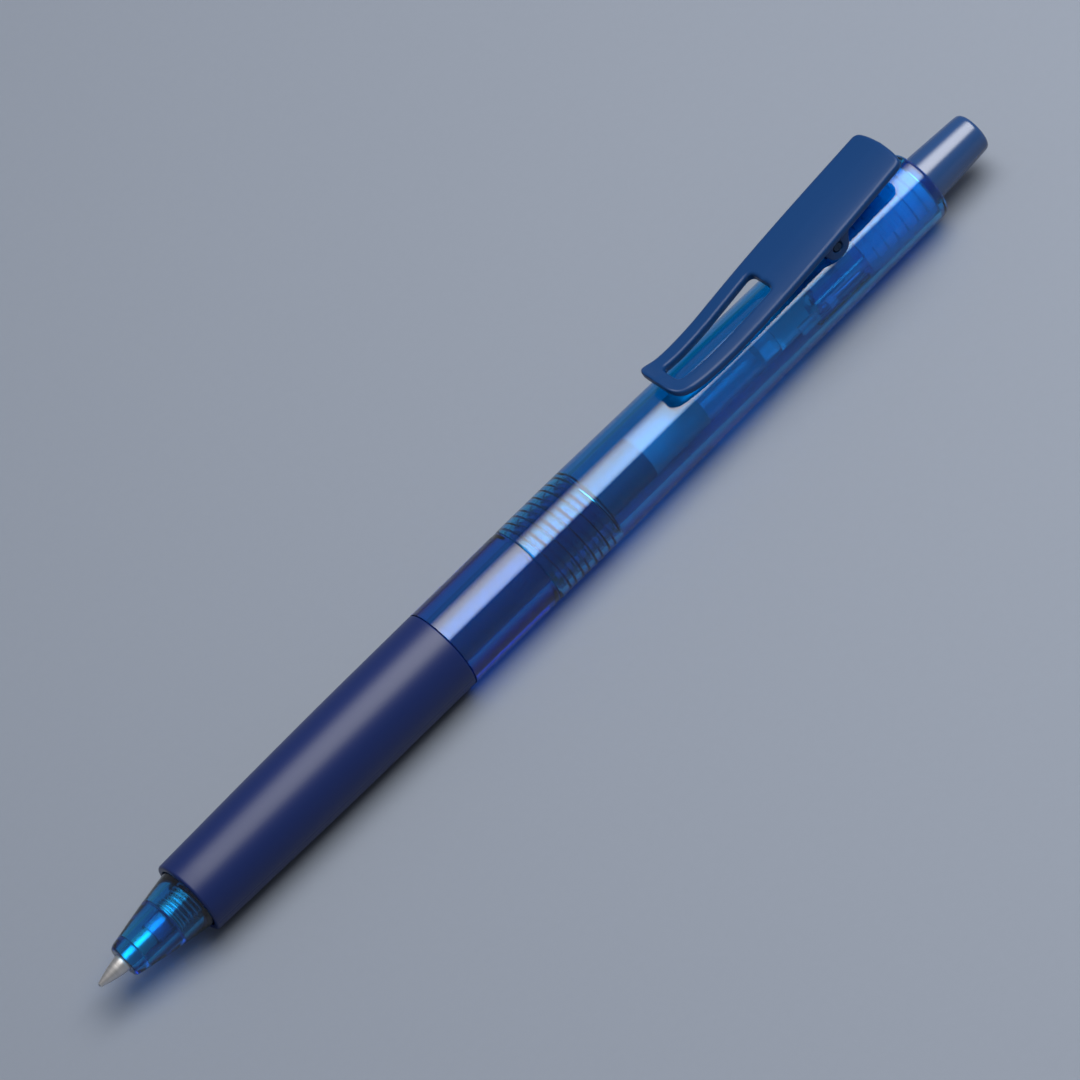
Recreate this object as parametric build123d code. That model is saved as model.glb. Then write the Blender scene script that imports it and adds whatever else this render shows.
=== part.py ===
from build123d import *
import os

# Retractable gel pen with a sprung, hinged clip, in the writing position.
# Millimetres. While it is modelled, the pen lies along X on the axis y = z = 0, its ball touches x = 0,
# the knock points to +X and the clip is on top (+Z). Each piece is then lifted to the row's frame, whose
# origin is under the middle of the pen, level with the lowest line of the barrel.

# Overall
LENGTH = 145.9
BARREL_R = 5.45
RUN = 0.05  # radial clearance of a running fit
SEAT = 0.02  # radial clearance of a seated or pressed piece
THROUGH = 1.0  # how far a cutter runs past what it cuts
FAR = 16.0  # a cutter or a blank of this length is sure to span the whole pen

# Front barrel
NOSE_X = 3.95
NOSE = [(NOSE_X, 2.0), (4.3, 2.22), (5.9, 2.57), (10.1, 3.37), (14.5, 4.06)]
GRIP_X0 = 14.5
GRIP_X1 = 56.5
GRIP_SEAT_R = 4.2
JOINT_X = 70.4
SHOULDER_X = 69.4
JOINT_EDGE = 0.06  # how far each barrel's edge is rounded down at the joint
JOINT_EDGE_LENGTH = 0.3
SPIGOT_X1 = 80.6
SPIGOT_R = 4.2
TIP_GUIDE_X1 = 5.9
TIP_CAVITY_R = 1.95
SPRING_SEAT_X = 10.9
SPRING_CAVITY_R = 2.75
REFILL_CAVITY_X = 18.0
REFILL_CAVITY_R = 3.15

# Thread between the barrels
THREAD_PITCH = 2.18
THREAD_TURNS = 4
THREAD_X0 = 72.0
THREAD_CREST = 0.5
THREAD_BASE = 1.0
MALE_CREST_R = 4.6
FEMALE_ROOT_R = 4.75
FEMALE_CREST_R = 4.35

# Grip sleeve
GRIP_FRONT_R = 5.0
GRIP_MID_X = 29.6
GRIP_MID_R = 5.27
GRIP_FULL_X = 41.5
GRIP_FULL_R = 5.43
GRIP_LIP = 0.7
LIP_CORNER = 0.3  # where the lip's middle point lies, as a share of its size

# Rear barrel
TAPER_X = 80.0
REAR_R = 4.75
REAR_X1 = 136.7
END_ROUND = 1.2
REAR_BORE_R = 4.1
FEMALE_X1 = 81.0
END_WALL_X = 135.5
END_HOLE_R = 3.42
RIB_X0 = 116.0
RIB_X1 = 124.4
RIB_R = 3.4
RIB_WIDTH = 1.0
RIBS = 4
RIB_ANGLE = 45

# Guide sleeve
SLEEVE_X0 = 124.5
SLEEVE_X1 = 135.4
SLEEVE_R = 3.8
SLEEVE_BORE_R = 3.25
BARB_X = 126.1
BARB_PITCH = 1.64
BARBS = 6
BARB_WIDTH = 0.7

# Clip
PIN_X = 122.2
PIN_Z = 5.9
PIN_R = 0.65
PIN_HALF = 3.5
PIN_CHAMFER = 0.12
CLIP_X0 = 95.4
CLIP_X1 = 134.6
CLIP_THICK = 1.2
CLIP_FOOT_HALF = 3.55
CLIP_MID_X = 112.0
CLIP_MID_HALF = 4.35
CLIP_TAIL_HALF = 4.1
CLIP_FOOT_ROUND = 2.2
CLIP_TAIL_ROUND = 1.0
CLIP_EDGE = 0.35
FOOT_FLAT_X0 = 99.2
FOOT_FLAT_X1 = 104.6
FOOT_TOP_Z = 6.42
FLARE_Z = 7.9
FLARE_LENGTH = 1.6
FLARE_DROP = 0.85
TAIL_TOP_Z = 10.1
WINDOW_X0 = 97.5
WINDOW_X1 = 113.2
WINDOW_HALF0 = 1.5
WINDOW_HALF1 = 2.15
WINDOW_ROUND = 1.0
CHEEK_Y0 = 2.45
CHEEK_Y1 = 3.6
CHEEK_R = 1.75
CHEEK_TOP_HALF = 2.65
EAR_Y0 = 1.15
EAR_Y1 = 2.3
EAR_R = 1.05
LUG_GAP = 0.25
CLIP_WIRE_R = 0.17
CLIP_COIL_R = 0.85
CLIP_COILS = 3
CLIP_LEG = 3.8
CLIP_LEG_RISE = 7.0  # degrees, the slope of the clip's tail
CLIP_SPRING_GAP = 0.15  # between the coil and each ear

# Knock
KNOCK_X0 = 135.55
KNOCK_MOUTH_R = 3.15
KNOCK_BASE_X = 137.0
KNOCK_BASE_R = 3.13
KNOCK_TOP_X = 144.6
KNOCK_TOP_R = 2.7
KNOCK_END_R = 2.55
KNOCK_ROUND = 0.8
KNOCK_BORE_R = 2.05
KNOCK_BORE_X1 = 141.0
PLUNGER_R = 2.85
PLUNGER_X0 = 117.3
COLLAR_X0 = 128.5
COLLAR_X1 = 135.5
COLLAR_R = 3.1
STEM_X1 = 140.5
PILOT_BORE_X1 = 121.5
PLUNGER_FIN_X = 117.6
PLUNGER_FIN_LENGTH = 1.2
FIN_R = 3.85
FIN_WIDTH = 0.7
FINS = 4

# Rotor
ROTOR_FIN_X = 112.9
ROTOR_X1 = 115.8
TOOTH = 0.65
TEETH = 8
TOOTH_GAP = 0.15
PILOT_R = 1.25
PILOT_X1 = 119.5
ROTOR_STEM_X0 = 107.6
ROTOR_STEM_R = 2.35
ROTOR_PLAY = 0.08

# Refill
BALL_R = 0.25
SOCKET_R = 0.262
TIP_R = 1.15
TIP_CONE = [(0.15, 0.29), (1.2, 0.6), (2.4, 0.91), (3.6, 1.13)]
TIP_FULL_X = 4.0
TIP_X1 = 13.0
TIP_INK_R = 0.12
TIP_FEED_R = 0.55
HOLDER_X0 = 8.5
HOLDER_NOSE_R = 1.5
HOLDER_STEP_R = 1.55
HOLDER_STEP_LENGTH = 0.4
HOLDER_BODY_R = 1.7
FLANGE_X0 = 23.45
FLANGE_X1 = 24.4
HOLDER_X1 = 29.3
HOLDER_FEED_R = 0.8
TUBE_R = 2.95
TUBE_BORE_R = 2.45
TUBE_X1 = 110.0
INK_X1 = 89.0
FOLLOWER_X1 = 98.0

# Return spring
SPRING_R = 2.08
WIRE_R = 0.17
SPRING_PITCH = 0.66


def turned(points):
    """Solid of revolution about the pen's axis, from (station, radius) points."""
    first, last = points[0], points[-1]
    outline = Polyline((first[0], 0), *points, (last[0], 0), close=True)
    return revolve(make_face(outline), Axis.X)


def rod(x0, x1, radius):
    return turned([(x0, radius), (x1, radius)])


def ring(x0, x1, outer, inner):
    return rod(x0, x1, outer) - rod(x0 - THROUGH, x1 + THROUGH, inner)


def ridge(x, root, crest, base, top):
    """Ring with a trapezoid section round a shaft, its middle at x."""
    outline = [(x - base / 2, root), (x - top / 2, crest), (x + top / 2, crest), (x + base / 2, root)]
    return turned(outline) - rod(x - base, x + base, root - RUN)


def spokes(count, x0, x1, inner, outer, width, turn=0.0):
    """Radial blades of one width, evenly spaced about the axis."""
    blade = Box(x1 - x0, outer - inner, width, align=(Align.MIN, Align.MIN, Align.CENTER))
    blade = Pos(x0, inner, 0) * blade
    return [Rot(turn + i * 360 / count, 0, 0) * blade for i in range(count)]


def barrel_radius(x):
    """Outer radius of the rear barrel, which tapers from the joint to the knock."""
    along = (x - TAPER_X) / (REAR_X1 - TAPER_X)
    return BARREL_R + (REAR_R - BARREL_R) * max(0.0, along)


def clip_top(x):
    """Height of the clip's top face: a flat foot, then a straight rise to the tail."""
    rise = (TAIL_TOP_Z - FOOT_TOP_Z) / (CLIP_X1 - FOOT_FLAT_X1)
    return FOOT_TOP_Z + rise * max(0.0, x - FOOT_FLAT_X1)


def thread_stations(offset):
    return [THREAD_X0 + offset + i * THREAD_PITCH for i in range(THREAD_TURNS)]


def make_front_barrel():
    seat = [(GRIP_X0, GRIP_SEAT_R), (GRIP_X1, GRIP_SEAT_R)]
    band = [(GRIP_X1, BARREL_R), (SHOULDER_X, BARREL_R), (JOINT_X - SEAT, BARREL_R - JOINT_EDGE)]
    spigot = [(JOINT_X - SEAT, SPIGOT_R), (SPIGOT_X1, SPIGOT_R)]
    body = turned(NOSE + seat + band + spigot)
    for x in thread_stations(0):
        body += ridge(x, SPIGOT_R, MALE_CREST_R, THREAD_BASE, THREAD_CREST)
    body -= rod(NOSE_X - THROUGH, TIP_GUIDE_X1, TIP_R + RUN)
    body -= rod(TIP_GUIDE_X1 - RUN, SPRING_SEAT_X, TIP_CAVITY_R)
    body -= rod(SPRING_SEAT_X - RUN, REFILL_CAVITY_X, SPRING_CAVITY_R)
    body -= rod(REFILL_CAVITY_X - RUN, SPIGOT_X1 + THROUGH, REFILL_CAVITY_R)
    return body


def make_grip_sleeve():
    corner = GRIP_LIP * LIP_CORNER
    lip = [(GRIP_X0, GRIP_FRONT_R - GRIP_LIP), (GRIP_X0 + corner, GRIP_FRONT_R - corner)]
    swell = [(GRIP_X0 + GRIP_LIP, GRIP_FRONT_R), (GRIP_MID_X, GRIP_MID_R), (GRIP_FULL_X, GRIP_FULL_R)]
    body = turned(lip + swell + [(GRIP_X1 - SEAT, GRIP_FULL_R)])
    return body - rod(GRIP_X0 - THROUGH, GRIP_X1 + THROUGH, GRIP_SEAT_R + SEAT)


def make_lug():
    """The two ears on top of the rear barrel that hold the clip's pin."""
    foot = Pos(PIN_X, 0, (PIN_Z + REAR_BORE_R) / 2) * Box(2 * EAR_R, 2 * EAR_Y1, PIN_Z - REAR_BORE_R)
    crown = Pos(PIN_X, 0, PIN_Z) * Rot(90, 0, 0) * Cylinder(EAR_R, 2 * EAR_Y1)
    gap = Pos(PIN_X, 0, PIN_Z) * Rot(90, 0, 0) * Cylinder(CLIP_COIL_R + CLIP_WIRE_R + RUN, 2 * EAR_Y0)
    room_height = PIN_Z - barrel_radius(PIN_X) + EAR_R
    room = Pos(PIN_X, 0, PIN_Z + EAR_R - room_height / 2) * Box(FAR, 2 * EAR_Y0, room_height)
    return foot + crown - gap - room


def make_rear_barrel():
    front = [(JOINT_X, BARREL_R - JOINT_EDGE), (JOINT_X + JOINT_EDGE_LENGTH, BARREL_R), (TAPER_X, BARREL_R)]
    body = turned(front + [(REAR_X1, REAR_R)])
    body = fillet(body.edges().group_by(Axis.X)[-1], END_ROUND)
    body -= rod(JOINT_X - THROUGH, FEMALE_X1, FEMALE_ROOT_R)
    body -= rod(FEMALE_X1 - RUN, END_WALL_X, REAR_BORE_R)
    body -= rod(END_WALL_X - THROUGH, REAR_X1 + THROUGH, END_HOLE_R)
    for x in thread_stations(THREAD_PITCH / 2):
        body += ring(x - THREAD_CREST / 2, x + THREAD_CREST / 2, FEMALE_ROOT_R + RUN, FEMALE_CREST_R)
    for rib in spokes(RIBS, RIB_X0, RIB_X1, RIB_R, REAR_BORE_R + 2 * RUN, RIB_WIDTH, RIB_ANGLE):
        body += rib
    body += make_lug()
    pocket = Rot(90, 0, 0) * Cylinder(CHEEK_R + LUG_GAP, CHEEK_Y1 - EAR_Y1 + LUG_GAP)
    for side in (-1, 1):
        body -= Pos(PIN_X, side * (CHEEK_Y1 + EAR_Y1 + LUG_GAP) / 2, PIN_Z) * pocket
    return body - Pos(PIN_X, 0, PIN_Z) * Rot(90, 0, 0) * Cylinder(PIN_R + SEAT, FAR)


def make_guide_sleeve():
    body = rod(SLEEVE_X0, SLEEVE_X1, SLEEVE_R)
    for i in range(BARBS):
        body += ridge(BARB_X + i * BARB_PITCH, SLEEVE_R, REAR_BORE_R - SEAT, BARB_WIDTH, BARB_WIDTH / 3)
    return body - rod(SLEEVE_X0 - THROUGH, SLEEVE_X1 + THROUGH, SLEEVE_BORE_R)


def make_clip_pin():
    pin = Pos(PIN_X, 0, PIN_Z) * Rot(90, 0, 0) * Cylinder(PIN_R, 2 * PIN_HALF)
    return chamfer(pin.edges().filter_by(GeomType.CIRCLE), PIN_CHAMFER)


def make_clip_spring():
    """Torsion spring round the pin: a coil, a leg on the barrel and a leg under the clip's tail."""
    width = 2 * (EAR_Y0 - CLIP_WIRE_R - CLIP_SPRING_GAP)
    turns = CLIP_COILS + 0.5 + CLIP_LEG_RISE / 360
    path = Helix(width / turns, width, CLIP_COIL_R)
    section = Plane(origin=path @ 0, z_dir=path % 0) * Circle(CLIP_WIRE_R)
    spring = sweep(section, path=path, is_frenet=True)
    for end, way in ((path @ 0, -(path % 0)), (path @ 1, path % 1)):
        leg = Cylinder(CLIP_WIRE_R, CLIP_LEG, align=(Align.CENTER, Align.CENTER, Align.MIN))
        elbow = Sphere(CLIP_WIRE_R + SEAT)
        spring = spring + Pos(end) * elbow + Plane(origin=end, z_dir=way) * leg
    up = Vector(0, 0, 1).rotate(Axis.Y, CLIP_LEG_RISE)
    return Plane(origin=(PIN_X, width / 2, PIN_Z), x_dir=up, z_dir=(0, -1, 0)) * spring


def clip_side():
    """Side view of the clip's plate in the XZ plane."""
    top = [(CLIP_X0, FLARE_Z), (CLIP_X0 + FLARE_LENGTH, FLARE_Z - FLARE_DROP), (FOOT_FLAT_X0, FOOT_TOP_Z)]
    top += [(FOOT_FLAT_X1, FOOT_TOP_Z), (CLIP_X1, TAIL_TOP_Z)]
    under = [(x, z - CLIP_THICK) for x, z in reversed(top)]
    return make_face(Polyline(*top, *under, close=True))


def clip_plan():
    """Outline of the clip from above, half by half about the middle line."""
    half = [(CLIP_X0, CLIP_FOOT_HALF), (CLIP_MID_X, CLIP_MID_HALF), (PIN_X, CLIP_MID_HALF)]
    half += [(CLIP_X1, CLIP_TAIL_HALF)]
    other = [(x, -y) for x, y in reversed(half)]
    plan = make_face(Polyline(*half, *other, close=True))
    plan = fillet(plan.vertices().group_by(Axis.X)[0], CLIP_FOOT_ROUND)
    return fillet(plan.vertices().group_by(Axis.X)[-1], CLIP_TAIL_ROUND)


def clip_window():
    near = [(WINDOW_X0, -WINDOW_HALF0), (WINDOW_X0, WINDOW_HALF0)]
    far = [(WINDOW_X1, WINDOW_HALF1), (WINDOW_X1, -WINDOW_HALF1)]
    return fillet(make_face(Polyline(*near, *far, close=True)).vertices(), WINDOW_ROUND)


def clip_cheek():
    """One rounded cheek, which hangs from the plate and turns on the pin."""
    lobe = Pos(PIN_X, PIN_Z) * Circle(CHEEK_R)
    x0, x1 = PIN_X - CHEEK_TOP_HALF, PIN_X + CHEEK_TOP_HALF
    web = [(PIN_X - CHEEK_R, PIN_Z), (x0, clip_top(x0) - CLIP_THICK / 2)]
    web += [(x1, clip_top(x1) - CLIP_THICK / 2), (PIN_X + CHEEK_R, PIN_Z)]
    outline = lobe + make_face(Polyline(*web, close=True))
    return extrude(Plane.XZ * outline, CHEEK_Y1 - CHEEK_Y0)


def make_clip():
    plate = extrude(Plane.XZ * clip_side(), FAR, both=True)
    plate &= extrude(clip_plan(), FAR)
    plate -= extrude(clip_window(), FAR)
    plate = fillet(plate.faces().sort_by(Axis.Z)[-1].outer_wire().edges(), CLIP_EDGE)
    for y in (CHEEK_Y1, -CHEEK_Y0):
        plate += Pos(0, y, 0) * clip_cheek()
    return plate - Pos(PIN_X, 0, PIN_Z) * Rot(90, 0, 0) * Cylinder(PIN_R + RUN, FAR)


def make_knock_button():
    side = [(KNOCK_X0, KNOCK_MOUTH_R), (KNOCK_BASE_X, KNOCK_BASE_R), (KNOCK_TOP_X, KNOCK_TOP_R)]
    body = turned(side + [(LENGTH, KNOCK_END_R)])
    body = fillet(body.edges().group_by(Axis.X)[-1], KNOCK_ROUND)
    return body - rod(KNOCK_X0 - THROUGH, KNOCK_BORE_X1, KNOCK_BORE_R)


def toothed(body, x, direction):
    """Cuts a crown of teeth into the end of a body that stops at x."""
    for i in range(TEETH):
        cutter = Rot(0, 0, 45) * Box(TOOTH * 2**0.5, TOOTH * 2**0.5, FAR)
        cutter = Pos(x, 0, FAR / 2) * cutter
        body -= Rot((i + 0.5 * (direction > 0)) * 360 / TEETH, 0, 0) * cutter
    return body


def make_plunger():
    shaft = [(PLUNGER_X0 - TOOTH, PLUNGER_R), (COLLAR_X0, PLUNGER_R)]
    collar = [(COLLAR_X0, COLLAR_R), (COLLAR_X1, COLLAR_R)]
    stem = [(COLLAR_X1, KNOCK_BORE_R - SEAT), (STEM_X1, KNOCK_BORE_R - SEAT)]
    body = turned(shaft + collar + stem)
    body = toothed(body, PLUNGER_X0 - TOOTH, -1)
    fin_x1 = PLUNGER_FIN_X + PLUNGER_FIN_LENGTH
    for fin in spokes(FINS, PLUNGER_FIN_X, fin_x1, ROTOR_STEM_R, FIN_R, FIN_WIDTH):
        body += fin
    return body - rod(PLUNGER_X0 - THROUGH, PILOT_BORE_X1, PILOT_R + RUN)


def make_cam_rotor():
    tooth_x1 = PLUNGER_X0 - TOOTH - TOOTH_GAP
    body = rod(TUBE_X1 + ROTOR_PLAY, tooth_x1, PLUNGER_R)
    body = toothed(body, tooth_x1, 1)
    body += rod(ROTOR_STEM_X0, PILOT_X1, PILOT_R)
    body += rod(ROTOR_STEM_X0, TUBE_X1 + THROUGH, ROTOR_STEM_R)
    for fin in spokes(FINS, ROTOR_FIN_X, ROTOR_X1, PILOT_R, FIN_R, FIN_WIDTH):
        body += fin
    return body


def make_ball():
    return Pos(BALL_R, 0, 0) * Sphere(BALL_R)


def make_writing_tip():
    body = turned(TIP_CONE + [(TIP_FULL_X, TIP_R), (TIP_X1, TIP_R)])
    body -= Pos(BALL_R, 0, 0) * Sphere(SOCKET_R)
    body -= rod(BALL_R, TIP_X1 + THROUGH, TIP_INK_R)
    return body - rod(TIP_FULL_X, TIP_X1 + THROUGH, TIP_FEED_R)


def make_tip_holder():
    nose = [(HOLDER_X0, HOLDER_NOSE_R), (SPRING_SEAT_X, HOLDER_STEP_R)]
    middle = [(SPRING_SEAT_X + HOLDER_STEP_LENGTH, HOLDER_BODY_R), (FLANGE_X0, HOLDER_BODY_R)]
    flange = [(FLANGE_X0, TUBE_R), (FLANGE_X1 - SEAT, TUBE_R)]
    plug = [(FLANGE_X1 - SEAT, TUBE_BORE_R - SEAT), (HOLDER_X1, TUBE_BORE_R - SEAT)]
    body = turned(nose + middle + flange + plug)
    body -= rod(HOLDER_X0 - THROUGH, TIP_X1 + SEAT, TIP_R + SEAT)
    return body - rod(TIP_X1, HOLDER_X1 + THROUGH, HOLDER_FEED_R)


def make_refill_tube():
    return ring(FLANGE_X1, TUBE_X1, TUBE_R, TUBE_BORE_R)


def make_ink_column():
    return rod(HOLDER_X1 + SEAT, INK_X1, TUBE_BORE_R - SEAT)


def make_follower():
    return rod(INK_X1 + SEAT, FOLLOWER_X1, TUBE_BORE_R - SEAT)


def make_return_spring():
    """Compression spring round the tip holder, from the barrel's seat to the holder's flange."""
    start = SPRING_SEAT_X + WIRE_R + SEAT
    height = FLANGE_X0 - SEAT - WIRE_R - start
    path = Helix(SPRING_PITCH, height, SPRING_R)
    section = Plane(origin=path @ 0, z_dir=path % 0) * Circle(WIRE_R)
    return Pos(start, 0, 0) * Rot(0, 90, 0) * sweep(section, path=path, is_frenet=True)


def save(name, piece):
    export_step(Pos(-LENGTH / 2, 0, BARREL_R) * piece, f"parts/{name}.step")


os.makedirs("parts", exist_ok=True)
save("front_barrel", make_front_barrel())
save("grip_sleeve", make_grip_sleeve())
save("rear_barrel", make_rear_barrel())
save("guide_sleeve", make_guide_sleeve())
save("clip_pin", make_clip_pin())
save("clip_spring", make_clip_spring())
save("clip", make_clip())
save("knock_button", make_knock_button())
save("plunger", make_plunger())
save("cam_rotor", make_cam_rotor())
save("ball", make_ball())
save("writing_tip", make_writing_tip())
save("tip_holder", make_tip_holder())
save("refill_tube", make_refill_tube())
save("ink_column", make_ink_column())
save("follower", make_follower())
save("return_spring", make_return_spring())
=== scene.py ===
# %% [markdown]
# # A retractable gel pen
# The pen is a chain of turned shapes on one axis, with a moulded clip on top. The CAD frame already holds
# every size and every joint. Here each visible part gets a smooth mesh and a finish, and rides on its body.
# The box of the CAD model is kept, to compare with the finished pen at the end.

# %% Load the frame
import math
import bmesh
import bpy
import numpy as np
from mathutils import Matrix, Vector


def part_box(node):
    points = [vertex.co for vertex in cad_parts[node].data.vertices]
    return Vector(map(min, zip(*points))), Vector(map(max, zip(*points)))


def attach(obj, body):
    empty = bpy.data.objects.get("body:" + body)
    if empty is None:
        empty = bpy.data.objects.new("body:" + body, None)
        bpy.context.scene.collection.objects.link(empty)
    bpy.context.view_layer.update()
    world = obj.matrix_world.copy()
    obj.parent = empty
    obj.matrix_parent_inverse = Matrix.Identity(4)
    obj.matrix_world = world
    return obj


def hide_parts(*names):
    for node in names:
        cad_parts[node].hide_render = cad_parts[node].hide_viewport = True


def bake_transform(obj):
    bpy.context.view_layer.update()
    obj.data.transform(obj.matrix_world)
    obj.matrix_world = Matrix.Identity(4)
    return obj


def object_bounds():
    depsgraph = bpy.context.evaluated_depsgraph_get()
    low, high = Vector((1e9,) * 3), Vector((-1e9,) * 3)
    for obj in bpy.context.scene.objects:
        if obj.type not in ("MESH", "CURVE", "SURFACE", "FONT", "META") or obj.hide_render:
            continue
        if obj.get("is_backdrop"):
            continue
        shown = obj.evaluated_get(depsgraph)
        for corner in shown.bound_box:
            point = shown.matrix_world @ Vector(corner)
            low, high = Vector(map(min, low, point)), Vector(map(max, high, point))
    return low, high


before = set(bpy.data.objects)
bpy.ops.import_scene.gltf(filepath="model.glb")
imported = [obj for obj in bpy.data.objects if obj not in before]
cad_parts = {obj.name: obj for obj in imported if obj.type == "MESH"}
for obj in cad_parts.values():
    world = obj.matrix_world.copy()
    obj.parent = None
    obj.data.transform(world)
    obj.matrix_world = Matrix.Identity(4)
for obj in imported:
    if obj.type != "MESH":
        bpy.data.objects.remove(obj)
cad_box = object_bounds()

print("nodes:", sorted(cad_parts))

# %% [markdown]
# ## One ruler for the whole pen
# A pen maker gives places as stations: millimetres along the pen from the ball. Blender works in metres, so
# one small helper turns stations and heights into places, and another reads a node's stations from the
# frame.

# %% Stations
MM = 0.001
PEN_X0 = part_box("ball")[0].x
AXIS_Z = (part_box("refill_tube")[0].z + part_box("refill_tube")[1].z) / 2


def place(x, y=0.0, z=0.0):
    """A point in metres from a station, a side offset and a height above the pen's axis, all in mm."""
    return Vector((PEN_X0 + x * MM, y * MM, AXIS_Z + z * MM))


def span(node):
    """A node's first station, last station and radius, in mm."""
    low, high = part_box(node)
    return (low.x - PEN_X0) / MM, (high.x - PEN_X0) / MM, (high.y - low.y) / 2 / MM


for node in ("front_barrel", "grip_sleeve", "rear_barrel", "knock_button"):
    print(node, "x0 %.2f  x1 %.2f  r %.2f mm" % span(node))

# %% [markdown]
# ## The lathe
# Nearly every part of a pen is turned or moulded round, so one lathe makes them all. It spins an outline
# round the axis. Blender's Screw modifier could do that too, but it can't change the radius on the way.
# Here a relief function may push the wall in or out, which is how threads and ribs are made: they stay part
# of one closed wall, as they are on the moulded part, so clear plastic bends light correctly.
#
# An outline is a list of corners. Real mouldings have no sharp corners, so each one is rounded first.


# %% Outline helpers
LONGEST_CUT = 0.48


def soften(points, radii, steps=6, closed=True):
    """Rounds each corner of an outline. radii is one size or a list with one for each point.

    A cut takes at most LONGEST_CUT of a side, so that two cuts on one side never meet.
    """
    points = [np.array(p, float) for p in points]
    radii = radii if isinstance(radii, (list, tuple)) else [radii] * len(points)
    out = []
    for i, (corner, radius) in enumerate(zip(points, radii)):
        at_end = not closed and i in (0, len(points) - 1)
        if radius <= 0 or at_end:
            out.append(corner)
            continue
        back, ahead = points[i - 1] - corner, points[(i + 1) % len(points)] - corner
        reach = min(radius, LONGEST_CUT * np.linalg.norm(back), LONGEST_CUT * np.linalg.norm(ahead))
        start = corner + back / np.linalg.norm(back) * reach
        end = corner + ahead / np.linalg.norm(ahead) * reach
        for t in np.linspace(0, 1, steps):
            out.append((1 - t) ** 2 * start + 2 * t * (1 - t) * corner + t * t * end)
    return out


def dense(x0, x1, radius, step=0.07):
    """A straight stretch of an outline with many points, for a relief to act on."""
    count = max(2, int(abs(x1 - x0) / step) + 1)
    return [np.array((x, radius)) for x in np.linspace(x0, x1, count)]


print("a square with rounded corners has", len(soften([(0, 0), (1, 0), (1, 1), (0, 1)], 0.2)), "points")

# %% [markdown]
# Every mesh is shaded smooth, because it stands for a polished or moulded surface. Only edges above a given
# angle stay hard. Points that fall together, as on the axis, are joined, so that each shell is closed.


# %% Mesh helpers
def finish_mesh(name, mesh, sharp=38):
    """Smooth shading, with a hard edge kept where two faces meet at more than the given angle."""
    mesh.polygons.foreach_set("use_smooth", [True] * len(mesh.polygons))
    mesh.set_sharp_from_angle(angle=math.radians(sharp))
    piece = bpy.data.objects.new(name, mesh)
    bpy.context.scene.collection.objects.link(piece)
    return piece


def weld(mesh, distance=1e-7):
    """Joins points that lie together and turns every face outwards."""
    work = bmesh.new()
    work.from_mesh(mesh)
    bmesh.ops.remove_doubles(work, verts=work.verts, dist=distance)
    bmesh.ops.dissolve_degenerate(work, edges=work.edges, dist=distance)
    bmesh.ops.recalc_face_normals(work, faces=work.faces)
    work.to_mesh(mesh)
    work.free()
    return mesh


def lathe(name, outline, around=160, relief=None, angles=None, closed=True):
    """Spins an outline of (station, radius) in mm round the axis. Angle 0 is the clip side."""
    outline = np.array(outline, float)
    angles = np.linspace(0, 2 * math.pi, around, endpoint=False) if angles is None else angles
    rows, columns = len(outline), len(angles)
    x = np.repeat(outline[:, 0], columns)
    r = np.repeat(outline[:, 1], columns)
    a = np.tile(angles, rows)
    if relief:
        r = relief(x, a, r)
    points = np.column_stack((x, -r * np.sin(a), r * np.cos(a)))
    points = points * MM + np.array((PEN_X0, 0, AXIS_Z))
    quads = []
    for i in range(rows if closed else rows - 1):
        here, there = i * columns, (i + 1) % rows * columns
        for j in range(columns):
            k = (j + 1) % columns
            quads.append((here + j, here + k, there + k, there + j))
    mesh = bpy.data.meshes.new(name)
    mesh.from_pydata(points.tolist(), [], quads)
    return finish_mesh(name, weld(mesh))


print("lathe ready")

# %% [markdown]
# A spring is a wire bent along a path. A curve with a bevel would do, but a ring of points carried along the
# path gives a mesh at once, and it keeps the ring from twisting where the coils close up.


# %% Wire helper
ANY_WAY = (0.3, 0.5, 0.8)


def wire(name, points, radius, sides=12):
    """A round wire along a path in metres, with closed ends."""
    points = np.array(points, float)
    ahead = np.gradient(points, axis=0)
    ahead /= np.linalg.norm(ahead, axis=1)[:, None]
    side = np.cross(ahead[0], ANY_WAY)
    around = np.linspace(0, 2 * math.pi, sides, endpoint=False)
    rings = []
    for point, way in zip(points, ahead):
        side = side - way * np.dot(side, way)
        side /= np.linalg.norm(side)
        other = np.cross(way, side)
        rings.append(point + radius * (np.outer(np.cos(around), side) + np.outer(np.sin(around), other)))
    faces = [
        (i * sides + j, i * sides + (j + 1) % sides, (i + 1) * sides + (j + 1) % sides, (i + 1) * sides + j)
        for i in range(len(points) - 1)
        for j in range(sides)
    ]
    last = (len(points) - 1) * sides
    faces += [tuple(range(sides))[::-1], tuple(range(last, last + sides))]
    mesh = bpy.data.meshes.new(name)
    mesh.from_pydata(np.concatenate(rings).tolist(), [], faces)
    return finish_mesh(name, weld(mesh), sharp=60)


print("wire ready")

# %% [markdown]
# ## Shader maths as plain expressions
# A finish is easier to read as a formula than as a web of nodes. A small class wraps a socket, so that
# `0.3 + grain * 0.1` adds the Math nodes by itself. Every node, a Math node too, comes from one method,
# which takes the node's type, its settings and what goes into its sockets.


# %% Shader values
class Value:
    """One output socket that can be added and multiplied."""

    def __init__(self, finish, socket):
        self.finish, self.socket = finish, socket

    def maths(self, operation, other):
        return self.finish.node("Math", {"operation": operation}, {0: self, 1: other})

    def __add__(self, other):
        return self.maths("ADD", other)

    def __mul__(self, other):
        return self.maths("MULTIPLY", other)

    __radd__, __rmul__ = __add__, __mul__


print("values can be added and multiplied")


# %% Finishes, and the Principled sockets that they use
PRINCIPLED = (
    "Base Color", "Roughness", "Metallic", "IOR", "Normal", "Transmission Weight", "Specular IOR Level",
)


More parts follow.
